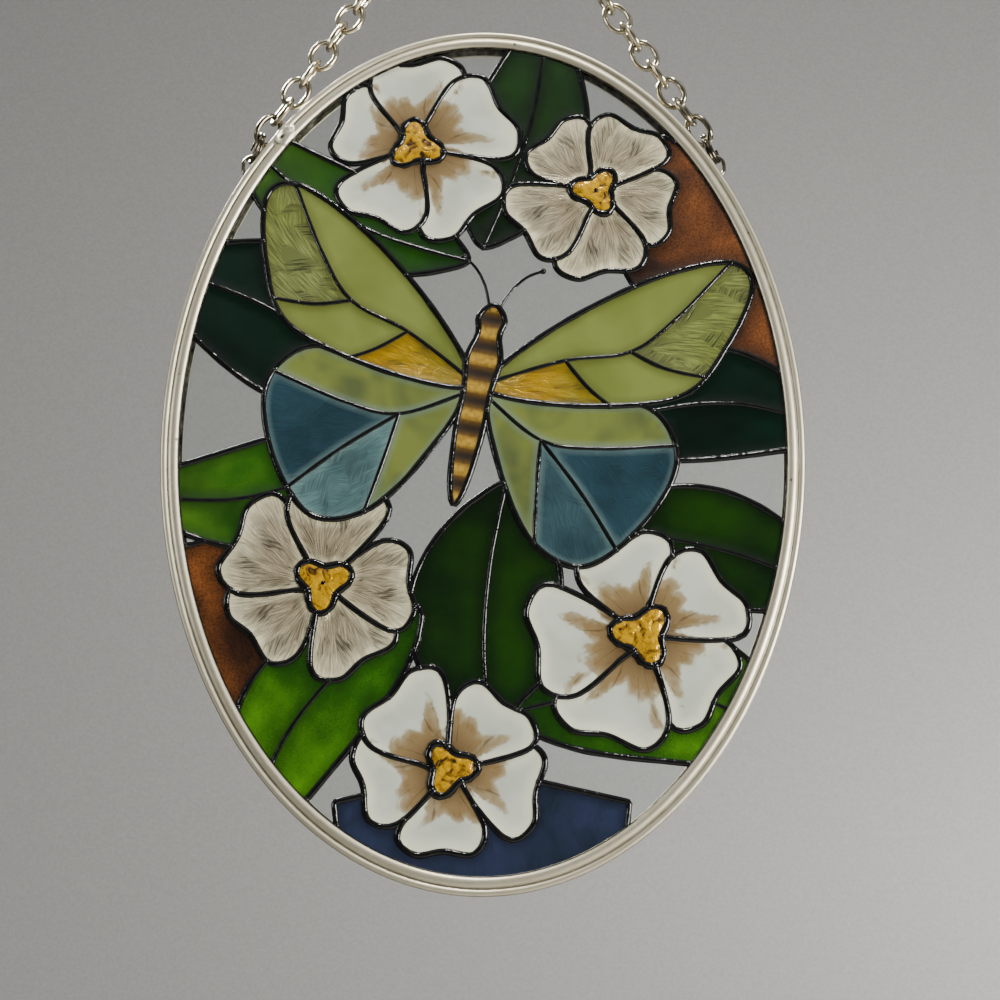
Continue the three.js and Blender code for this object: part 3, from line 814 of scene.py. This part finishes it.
def buildRelief():
    meeting, width = lineWidths()
    order = {i: k for k, i in enumerate(linePoints)}
    points = [place(spots[i][0], relief["back"], spots[i][1]) for i in linePoints]
    radius = [width[i] for i in linePoints]
    bead = [0 if meeting[i] == 2 else width[i] * relief["bead"] for i in linePoints]
    edges = [(order[a], order[b]) for a, b, _ in lineEdges]
    for line, thick, endBead in freeStrokes():
        start = len(points)
        points.extend(place(x, relief["back"], z) for x, z in line)
        radius.extend([thick] * len(line))
        bead.extend([thick] + [0] * (len(line) - 2) + [thick * endBead])
        edges.extend((start + i, start + i + 1) for i in range(len(line) - 1))
    height, sides = relief["height"] / relief["halfWidth"], relief["sides"]
    arc = [(height * math.sin(math.pi * k / sides), math.cos(math.pi * k / sides)) for k in range(sides + 1)]
    profile, dome = profileObject("line section", arc), domeObject("line bead", height)
    tree = sweepTree("raised lines", profile, reliefMaterial(), dome)
    mesh = pointsMesh("black_outline", points, edges, thickness=radius, bead=bead)
    source = meshObject("black_outline", mesh)
    grow(source, tree, {"Step": relief["step"] * mm, "Radius name": "thickness"})
    for helper in (profile, dome):
        bpy.data.objects.remove(helper)
    return source


finishPiece(buildRelief(), "black_relief", "relief_outline")
print("raised outline done")

metalLooks = {
    "pewter": {"light": (222, 214, 188), "dark": (206, 196, 168), "stainAndShadeColour": (26, 22, 14),
               "roughness": (0.4, 0.44), "pits": 0.1, "pitSize": 1.4},
    "chain": {"light": (224, 214, 186), "dark": (196, 184, 154), "stainAndShadeColour": (30, 20, 10),
              "roughness": (0.15, 0.2), "pits": 0.0, "pitSize": 0.8},
    "solder": {"light": (232, 226, 204), "dark": (206, 196, 168), "stainAndShadeColour": (34, 26, 18),
               "roughness": (0.36, 0.42), "pits": 0.2, "pitSize": 0.8},
}


def metalMaterial(name, look, drawn=False):  # darkened where the piece's own attribute says: real tarnish, and painted shade in grooves, crevices and hollows
    material, tree, shader = newMaterial(name, Metallic=1.0)
    cloud = spaceNoise(tree, 4.0, 4, 0.6)
    colour = ramp(tree, cloud, [(0.3, rgb(*look["dark"])), (0.62, rgb(*look["light"]))])
    where = addNode(tree, "ShaderNodeTexCoord").outputs["Object"]
    pitCells = addNode(tree, "ShaderNodeTexVoronoi", {"Vector": where, "Scale": 1 / (look["pitSize"] * mm)})
    chance = addNode(tree, "ShaderNodeSeparateColor", {"Color": pitCells.outputs["Color"]}).outputs[0]
    pit = maths(tree, "MULTIPLY", remap(tree, pitCells.outputs["Distance"], 0.1, 0.2, 1, 0),
                maths(tree, "GREATER_THAN", chance, 1 - 0.3 * look["pits"]))
    colour = mixColour(tree, maths(tree, "MULTIPLY", pit, 0.75), colour, rgb(*look["stainAndShadeColour"]))
    # Real tarnish and painted shade: the colour goes towards the dark colour where the attribute says, a
    # little unevenly.
    uneven = remap(tree, spaceNoise(tree, 1.2, 3), 0.3, 0.6, 0.8, 1)
    tarnishAndShadeAmount = maths(tree, "MULTIPLY", attribute(tree, "grime"), uneven)
    colour = mixColour(tree, tarnishAndShadeAmount, colour, rgb(*look["stainAndShadeColour"]))
    rough = remap(tree, cloud, 0.3, 0.7, look["roughness"][1], look["roughness"][0])
    rough = maths(tree, "ADD", rough, remap(tree, spaceNoise(tree, 0.35, 3), 0.3, 0.7, -0.02, 0.04))
    height = maths(tree, "SUBTRACT", maths(tree, "MULTIPLY", spaceNoise(tree, 5.0, 1), 0.6), pit)
    normal = bump(tree, height, 0.03, 0.3)
    if drawn:  # fine lines left along the metal by the rollers
        normal = bump(tree, strokeNoise(tree, 0.2, 20.0), 0.006, 0.2, normal)
    feed(tree, shader, {"Base Color": colour, "Roughness": rough, "Normal": normal})
    return material


# Beads: the middle and half-width across, then the level and rise in depth. The face is the channel's width.
rimLook = {"steps": 420, "outerBead": (-0.42, 0.44, -1.38, 0.34), "innerBead": (-1.62, 0.74, -1.3, 0.55),
           "face": 2.35, "back": 1.85, "slot": 1.2, "wall": 0.7, "corner": 0.22, "groove": -0.9,
           "grooveWidth": 0.16}


def rimSection():  # out and y, anticlockwise with out to the right: outer wall, back, slot, lip, beads
    def bead(middle, half, level, rise, start, end, count):
        angles = [math.radians(start + (end - start) * k / count) for k in range(count + 1)]
        return [(middle + half * math.cos(a), level - rise * math.sin(a)) for a in angles]

    face, back, slot, wall, corner = (rimLook[k] for k in ("face", "back", "slot", "wall", "corner"))
    points = [(0, back - corner), (-0.06, back - 0.07), (-corner, back), (-face + corner, back),
              (-face + 0.05, back - 0.06), (-face, back - corner), (-face, slot), (-wall, slot),
              (-wall, -slot), (-face, -slot)]
    points += bead(*rimLook["innerBead"], 176, 24, 12)
    points += bead(*rimLook["outerBead"], 150, 0, 9)
    return [(min(x, 0.0), y) for x, y in points]


def buildRim():
    profile = profileObject("rim section", rimSection())
    steps = rimLook["steps"]
    rings = [onOval(2 * math.pi * i / steps) for i in range(steps)]
    points = [place(p[0], 0, p[1]) for p, _ in rings]
    mesh = pointsMesh("channel_rim", points, [(i, (i + 1) % steps) for i in range(steps)])
    layer = mesh.attributes.new("outward", "FLOAT_VECTOR", "POINT")
    layer.data.foreach_set("vector", [c for _, n in rings for c in (n[0], 0.0, n[1])])
    tree, given = newTree("rim sweep", {"Section size": "Float"})
    curve = addNode(tree, "GeometryNodeMeshToCurve", {"Mesh": given["Geometry"]}).outputs[0]
    turned = {"Curve": curve, "Normal": named(tree, "outward", "FLOAT_VECTOR")}
    curve = addNode(tree, "GeometryNodeSetCurveNormal", turned, mode="FREE").outputs[0]
    swept = addNode(tree, "GeometryNodeCurveToMesh", {"Curve": curve, "Profile Curve": curveOf(tree, profile),
                                                      "Scale": given["Section size"]}).outputs[0]
    endTree(tree, swept, metalMaterial("pewter channel", metalLooks["pewter"], drawn=True))
    rim = grow(meshObject("channel_rim", mesh), tree, {"Section size": 1.0})
    bpy.data.objects.remove(profile)
    return rim


def nearestAngle(x, z):  # the oval angle whose normal passes through a point close to the rim
    halfX, halfZ = ovalHalf
    angle = math.atan2(z / halfZ, x / halfX)
    for _ in range(3):
        p, n = onOval(angle)
        ahead = (Vector((x, z)) - p).dot(Vector((-n[1], n[0])))
        angle += ahead / math.hypot(halfX * math.sin(angle), halfZ * math.cos(angle))
    return angle


def addRimMarks(rim):  # where painted shade darkens the rim, and a map whose second way runs round the rim
    def rise(value, start, width):
        return max(0.0, min(1.0, (value - start) / width))

    grime, strokes = [], []
    for vertex in rim.data.vertices:
        x, y, z = vertex.co.x / mm, vertex.co.y / mm, (vertex.co.z - ovalHeight) / mm
        angle = nearestAngle(x, z)
        p, n = onOval(angle)
        out = (Vector((x, z)) - p).dot(n)
        forward = y < 1.3  # the back lip gets no painted shade
        # Painted shade in the groove between the beads, at the lip's inner edge, inside the channel where it
        # shows through the glass, and on the front of the outer wall.
        groove = math.exp(-(((out - rimLook["groove"]) / rimLook["grooveWidth"]) ** 2)) if y < 0 else 0
        lip = rise(-out, 2.2, 0.08) if forward else 0.0
        inside = 1.0 if forward and y > -1.25 and out < -0.5 else 0.0
        edge = 0.85 * rise(out, -0.1, 0.08) * rise(-y, 0.6, 0.5)
        grime.append(max(0.8 * groove, lip, inside, edge))
        strokes.append((out + (3 if y > 0 else 0), angle * 50))
    setFloats(rim.data, grime=grime)
    setStrokes(rim.data, strokes)


rimPiece = buildRim()
addRimMarks(rimPiece)
finishPiece(rimPiece, "rim_metal", "rim")

solder = {"turn": 132, "along": 2.3, "across": 1.4, "depth": 2.06, "lumps": 0.12, "pit": 0.2,
          "pitWidth": 0.13, "crease": 0.05, "creaseWidth": 0.07, "slotHalf": 1.25, "inwards": -1.05,
          "clearOfGlass": 0.2}


def buildSolder():  # the lump that joins the channel's two ends
    shape = bmesh.new()
    bmesh.ops.create_icosphere(shape, subdivisions=6, radius=1)
    grime = []
    p, n = onOval(math.radians(solder["turn"]), -rimLook["face"] / 2)
    tangent = Vector((-n[1], n[0]))
    pitAt = Vector((0.1, -0.98, 0.1)).normalized()
    for vertex in shape.verts:
        v = vertex.co.normalized()
        lump = 1 + solder["lumps"] * (noise.noise(v * 2.1) - 0.2) + 0.03 * noise.noise(v * 5)
        pit = math.exp(-(((v - pitAt).length / solder["pitWidth"]) ** 2))
        crease = math.exp(-(((v.z - 0.6 + 0.35 * v.x * v.x) / solder["creaseWidth"]) ** 2))
        size = min(1.0, lump) - solder["pit"] * pit - solder["crease"] * crease
        flat = [math.copysign(abs(c) ** power, c) for c, power in zip(v, (0.72, 0.38, 0.72))]
        y = flat[1] * solder["depth"] * size
        inwards = solder["inwards" if abs(y) > solder["slotHalf"] else "clearOfGlass"]
        out = max(flat[0] * solder["across"] * size, inwards)
        spot = p + n * out + tangent * flat[2] * solder["along"] * size
        vertex.co = place(spot[0], y, spot[1])
        # Painted shade in the pit and along the crease on the lump's front.
        grime.append(min(1.0, 1.3 * pit + 0.9 * crease * (v.y < 0)))
    mesh = bpy.data.meshes.new("rim_solder")
    shape.to_mesh(mesh)
    shape.free()
    mesh.shade_smooth()
    setFloats(mesh, grime=grime)
    mesh.materials.append(metalMaterial("solder", metalLooks["solder"]))
    return meshObject("rim_solder", mesh)


finishPiece(buildSolder(), "rim_metal")
print("rim and solder done")

eyelet = {"turn": 41.7, "foot": -0.3, "heel": 0.25, "reach": 1.65, "halfLength": 1.65, "flare": 0.1,
          "shoulder": (0.98, 1.3), "wire": 0.25, "sides": 12, "step": 0.12, "fillet": 0.9,
          "filletPoints": 5}
chainMetal = metalMaterial("chain metal", metalLooks["chain"])


def buildEyelet(sideName, side):
    root, out = onOval(math.radians(eyelet["turn"]))
    up = Vector((-out[1], out[0]))
    shoulderOut, shoulderUp = eyelet["shoulder"]
    upper = [(shoulderOut, shoulderUp), (eyelet["heel"], eyelet["halfLength"]),
             (eyelet["foot"], eyelet["halfLength"] + eyelet["flare"])]
    knots = [(a, -b) for a, b in upper[::-1]] + [(eyelet["reach"], 0)] + upper
    path = [root + out * a + up * b for a, b in smoothLine(knots, 0.15, closed=False)]
    points = [place(side * p[0], 0, p[1]) for p in path]
    fromEnd = [min(i, len(path) - 1 - i) / eyelet["filletPoints"] for i in range(len(path))]
    thickness = [eyelet["wire"] * (1 + eyelet["fillet"] * max(0.0, 1 - f) ** 1.5) for f in fromEnd]
    profile = circleSection("eyelet section", eyelet["sides"])
    tree = sweepTree("eyelet wire", profile, chainMetal)
    name = f"eyelet_wire_{sideName}"
    edges = [(i, i + 1) for i in range(len(points) - 1)]
    piece = meshObject(name, pointsMesh(name, points, edges, thickness=thickness))
    grow(piece, tree, {"Step": eyelet["step"] * mm, "Radius name": "thickness"})
    bpy.data.objects.remove(profile)
    # The whole wire is darkened, a little more at every other point.
    setFloats(piece.data, grime=[0.75 if k % 2 else 0.6 for k in range(len(piece.data.vertices))])
    return piece


for sideName, side in (("left", -1), ("right", 1)):
    finishPiece(buildEyelet(sideName, side), "chain_metal", f"eyelet_{sideName}")

# The lowest link of each side is a coil of two turns.
chain = {"wire": 0.375, "sides": 12, "around": 40, "halfAlong": 2.125, "halfAcross": 1.5, "squareness": 0.94,
         "seam": 0.1, "seamAt": 0.27, "seamWidth": 1.1, "coilWire": 0.21, "coilPitch": 0.44,
         "tarnished": 5, "leastTarnish": 0.12}


def nodeFrame(name):  # a link's middle, long way, short way and thickness way, from its solid's own points
    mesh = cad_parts[name].data
    points = np.empty(len(mesh.vertices) * 3)
    mesh.vertices.foreach_get("co", points)
    points = np.unique(np.round(points.reshape(-1, 3), 7), axis=0)
    middle = points.mean(axis=0)
    ways = np.linalg.svd(points - middle, full_matrices=False)[2]
    for way in ways[:2]:  # either sign would do, so the largest part is made positive
        way *= math.copysign(1, way[np.argmax(np.abs(way))])
    ways[2] = np.cross(ways[0], ways[1])
    return middle, ways


def linkPath(name, turns):  # an oval path: one turn with a soldered seam, or two turns side by side
    around = chain["around"]
    count = around * turns
    points, thick, crevice = [], [], []
    for i in range(count + turns - 1):
        a = 2 * math.pi * i / around + math.pi / 2 * (turns - 1)
        along, across = (math.copysign(abs(c) ** chain["squareness"], c) for c in (math.cos(a), math.sin(a)))
        points.append((chain["halfAlong"] * along * mm, chain["halfAcross"] * across * mm,
                       chain["coilPitch"] * (turns - 1) * (i / around - 1) * mm))
        seam = math.exp(-(((i - chain["seamAt"] * around) / chain["seamWidth"]) ** 2))
        thick.append(1 + chain["seam"] * seam)
        # Painted shade at the link's ends, where the links hook into each other.
        crevice.append(abs(math.cos(a)) ** 6)
    edges = [(i, (i + 1) % len(points)) for i in range(count)]
    return meshObject(name, pointsMesh(name, points, edges, thickness=thick, crevice=crevice))


def placeLinks(tree, points, path, profile, wire, operation):  # the single links, or the coils
    radius = maths(tree, "MULTIPLY", named(tree, "thickness"), wire)
    link = addNode(tree, "GeometryNodeCurveToMesh",
                   {"Curve": curveOf(tree, path), "Profile Curve": curveOf(tree, profile), "Fill Caps": True,
                    "Scale": radius}).outputs[0]
    shown = addNode(tree, "FunctionNodeCompare", {"A": named(tree, "coil"), "B": 0.5}, operation=operation)
    return addNode(tree, "GeometryNodeInstanceOnPoints",
                   {"Points": points, "Selection": shown.outputs[0], "Instance": link,
                    "Rotation": named(tree, "turn", "QUATERNION"), "Scale": named(tree, "size")}).outputs[0]


def buildChain(names):
    middles, turns, tarnish, sizes, coils = [], [], [], [], []
    for k, name in enumerate(names):
        middle, ways = nodeFrame(name)
        middles.append(middle)
        turns.append(Matrix(ways).transposed().to_quaternion())
        above = int(name[-2:]) - 1 if name[-2:].isdigit() else len(names)  # links below it on its side
        spread = max(chain["leastTarnish"], 1 - above / chain["tarnished"])
        tarnish.append(spread + 0.12 * noise.noise((k * 1.7, 1, 1)))
        sizes.append(1 + 0.012 * noise.noise((k * 2.3, 5, 5)))
        coils.append(0.0 if above else 1.0)
    single, coil = linkPath("link path", 1), linkPath("coil path", 2)
    profile = circleSection("link section", chain["sides"])
    tree, given = newTree("chain links", {"Wire": "Float", "Coil wire": "Float"})
    joined = tree.nodes.new("GeometryNodeJoinGeometry")
    for path, wire, operation in ((single, "Wire", "LESS_THAN"), (coil, "Coil wire", "GREATER_THAN")):
        placed = placeLinks(tree, given["Geometry"], path, profile, given[wire], operation)
        tree.links.new(placed, joined.inputs[0])
    endTree(tree, joined.outputs[0], chainMetal)
    mesh = pointsMesh("cable_chain", middles, tarnish=tarnish, size=sizes, coil=coils)
    layer = mesh.attributes.new("turn", "QUATERNION", "POINT")
    layer.data.foreach_set("value", [c for q in turns for c in q])
    wires = {"Wire": chain["wire"], "Coil wire": chain["coilWire"]}
    piece = grow(meshObject("cable_chain", mesh), tree, wires)
    for helper in (single, coil, profile):
        bpy.data.objects.remove(helper)
    values = {key: np.zeros(len(piece.data.vertices)) for key in ("tarnish", "crevice")}
    for key in values:
        piece.data.attributes[key].data.foreach_get("value", values[key])
    # Real tarnish on the links nearest the eyelets, and painted shade at every link's ends.
    setFloats(piece.data, grime=np.maximum(0.9 * values["tarnish"], 0.55 * values["crevice"]))
    return piece


sideLinks = sorted(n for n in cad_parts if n.startswith(("chain_left_", "chain_right_")))
links = ["chain_top_link"] + sideLinks
finishPiece(buildChain(links), "chain_metal", *links)
print("eyelets and chain done")

glassLook = {"tint": (0.93, 0.965, 0.95, 1), "roughness": 0.015, "waves": 14.0}


def glassMaterial():
    material, tree, shader = newMaterial("clear glass", Transmission_Weight=1.0, IOR=1.5,
                                         Roughness=glassLook["roughness"], Base_Color=glassLook["tint"])
    feed(tree, shader, {"Normal": bump(tree, spaceNoise(tree, glassLook["waves"], 2), 0.03, 0.3)})
    return material


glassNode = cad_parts["glass_pane"]
glassNode.data.materials.clear()
glassNode.data.materials.append(glassMaterial())
print("glass done")

stage = {"behind": 0.62, "below": 0.3, "curve": 0.25, "curveSteps": 12, "half": 1.6, "front": 1.6,
         "high": 1.5, "floor": (152, 151, 148), "mottle": 10}
room = {"colour": (0.93, 0.96, 1.0, 1), "even": 0.09, "top": 0.5, "sides": 0.15}
oval, wall = (0, 0, 0), (0.3, stage["behind"], -0.1)
lamps = [  # name, position and aim about the oval's centre, size, watts, spread in degrees and colour
    ("key", (0.5, -0.42, -0.02), oval, 0.26, 6.6, 180, (1.0, 0.98, 0.94)),
    ("top", (0.05, -0.26, 0.5), oval, 0.07, 2.2, 180, (1.0, 0.97, 0.93)),
    ("left", (-0.55, -0.3, 0.1), oval, 0.2, 0.8, 180, (0.96, 0.98, 1.0)),
    ("wall", (0.62, 0.24, -0.26), wall, 0.2, 9.0, 180, (1.0, 0.99, 0.97)),
    ("back", (-0.3, 0.42, 0.5), oval, 0.2, 1.2, 36, (1.0, 0.98, 0.95)),
]
cameraLook = {"elevation": -13, "distance": 0.1972, "lens": 55.5, "aim": (0.0022, 0.0, -0.008)}


def aboutOval(position):
    return Vector(position) + Vector((0, 0, ovalHeight))


def standing(name, data, position, aim):  # a lamp or camera that looks at a point
    made = meshObject(name, data)
    made.location = position
    made.rotation_euler = (aim - position).to_track_quat("-Z", "Y").to_euler()
    return made


def buildStage():
    shape = bmesh.new()
    bottom = ovalHeight - stage["below"]
    far, radius, steps = stage["behind"], stage["curve"], stage["curveSteps"]
    line = [(-stage["front"], bottom)]
    for k in range(steps + 1):
        a = math.pi / 2 * k / steps
        line.append((far - radius + radius * math.sin(a), bottom + radius - radius * math.cos(a)))
    line.append((far, bottom + stage["high"]))
    rows = [[shape.verts.new((side * stage["half"], y, z)) for side in (-1, 1)] for y, z in line]
    for low, high in zip(rows, rows[1:]):
        shape.faces.new((low[0], low[1], high[1], high[0]))
    mesh = bpy.data.meshes.new("sweep backdrop")
    shape.to_mesh(mesh)
    shape.free()
    mesh.shade_smooth()
    material, tree, shader = newMaterial("pale sweep", Roughness=0.7)
    darker = rgb(*(c - stage["mottle"] for c in stage["floor"]))
    mottled = mixColour(tree, remap(tree, spaceNoise(tree, 1.5, 4), 0.3, 0.7), rgb(*stage["floor"]), darker)
    feed(tree, shader, {"Base Color": mottled})
    mesh.materials.append(material)
    meshObject("sweep_backdrop", mesh)


def addLamp(name, position, aim, size, watts, spread, colour):
    data = bpy.data.lights.new(name, "AREA")
    data.shape, data.size, data.energy, data.color = "DISK", size, watts, colour
    data.spread = math.radians(spread)
    standing(name, data, aboutOval(position), aboutOval(aim))


def addCamera():
    data = bpy.data.cameras.new("camera")
    data.lens = cameraLook["lens"]
    data.clip_start = 0.01
    elevation = math.radians(cameraLook["elevation"])
    back = Vector((0, -math.cos(elevation), math.sin(elevation))) * cameraLook["distance"]
    aim = aboutOval(cameraLook["aim"])
    bpy.context.scene.camera = standing("camera", data, aim + back, aim)


def addWorld():  # dim round the camera, brighter overhead and at the sides, so that metal keeps its contrast
    world = bpy.data.worlds.new("soft room")
    world.use_nodes = True
    tree = world.node_tree
    look = addNode(tree, "ShaderNodeTexCoord").outputs["Generated"]
    way = addNode(tree, "ShaderNodeSeparateXYZ", {"Vector": look}).outputs
    top = remap(tree, way["Z"], 0.25, 0.85, 0, room["top"])
    sides = remap(tree, maths(tree, "ABSOLUTE", way["X"]), 0.55, 0.95, 0, room["sides"])
    total = maths(tree, "ADD", maths(tree, "ADD", top, sides), room["even"])
    feed(tree, tree.nodes["Background"], {"Color": room["colour"], "Strength": total})
    bpy.context.scene.world = world


buildStage()
for lamp in lamps:
    addLamp(*lamp)
addCamera()
addWorld()
print("stage done")
